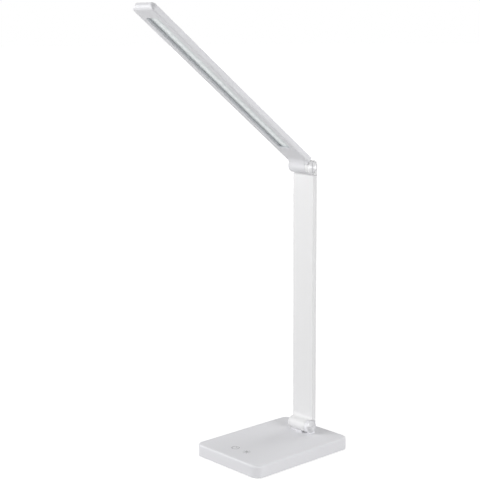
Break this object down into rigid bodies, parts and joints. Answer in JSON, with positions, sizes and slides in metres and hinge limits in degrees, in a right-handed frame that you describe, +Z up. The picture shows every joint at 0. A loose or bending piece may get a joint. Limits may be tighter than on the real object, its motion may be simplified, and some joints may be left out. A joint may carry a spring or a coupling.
{
  "type": "folding desk lamp",
  "caption": "Slim folding desk lamp: flat weighted base with touch controls, upright stem on a friction hinge, long bar head with a recessed light strip.",
  "frame": {"origin": "middle of the base's footprint, on the underside of the anti-slip pad", "axes": "+Z up along the upright stem, -Y towards the lamp's front, where the touch marks are, +X towards the ears of the hinges"},
  "size_m": [0.124, 0.2938, 0.5997],
  "materials": {
    "base_plastic": "satin off-white moulded plastic",
    "stem_plastic": "satin off-white moulded plastic",
    "head_plastic": "satin off-white moulded plastic",
    "tray_plastic": "matt grey moulded plastic",
    "pad_rubber": "matt grey foam rubber",
    "mark_ink": "matt grey inlay",
    "diffuser_milk": "milky translucent acrylic",
    "cap_metal": "satin",
    "ballast_steel": "black painted steel plate",
    "bracket_steel": "zinc plated pressed steel",
    "spring_steel": "dark spring steel",
    "washer_bronze": "bearing bronze",
    "contact_copper": "plated contact spring",
    "board_green": "solder mask on glass fibre",
    "board_white": "white solder mask",
    "chip_yellow": "phosphor filled LED package",
    "part_black": "black moulded plastic",
    "wire_white": "white wire insulation"
  },
  "bodies": {
    "base": {"base_cover": "base_plastic", "base_tray": "tray_plastic", "base_weight": "ballast_steel", "anti_slip_pad": "pad_rubber", "tray_screws": "bracket_steel", "weight_screws": "bracket_steel", "power_mark": "mark_ink", "brightness_mark": "mark_ink", "control_board": "board_green", "board_parts": "part_black", "board_screws": "bracket_steel", "touch_springs": "contact_copper", "dc_jack": "part_black", "dc_jack_pin": "cap_metal", "supply_wire": "wire_white", "base_wire": "wire_white", "base_bracket": "bracket_steel", "bracket_screws": "bracket_steel", "lower_pin": "bracket_steel", "lower_nut": "bracket_steel", "lower_ear_cap": "cap_metal"},
    "stem": {"lower_washers": "washer_bronze", "lower_springs": "spring_steel", "lower_end_cap": "stem_plastic", "stem_front_shell": "stem_plastic", "stem_rear_shell": "stem_plastic", "stem_core": "bracket_steel", "stem_lower_bracket": "bracket_steel", "stem_upper_bracket": "bracket_steel", "core_rivets": "bracket_steel", "stem_screws": "bracket_steel", "stem_wire": "wire_white", "upper_pin": "bracket_steel", "upper_nut": "bracket_steel", "upper_ear_cap": "cap_metal"},
    "head": {"upper_washers": "washer_bronze", "upper_springs": "spring_steel", "upper_end_cap": "head_plastic", "head_housing": "head_plastic", "head_frame": "head_plastic", "diffuser": "diffuser_milk", "led_board": "board_white", "led_chips": "chip_yellow", "head_bracket": "bracket_steel", "head_screws": "bracket_steel", "head_wire": "wire_white"}
  },
  "joints": [
    {"name": "stem_fold", "type": "hinge", "parent": "base", "child": "stem", "pos_m": [0, 0.0555, 0.0273], "axis": [1, 0, 0], "range_deg": [-25, 90]},
    {"name": "head_tilt", "type": "hinge", "parent": "stem", "child": "head", "pos_m": [0, 0.0555, 0.3883], "axis": [1, 0, 0], "range_deg": [-52.5, 127.5]}
  ]
}
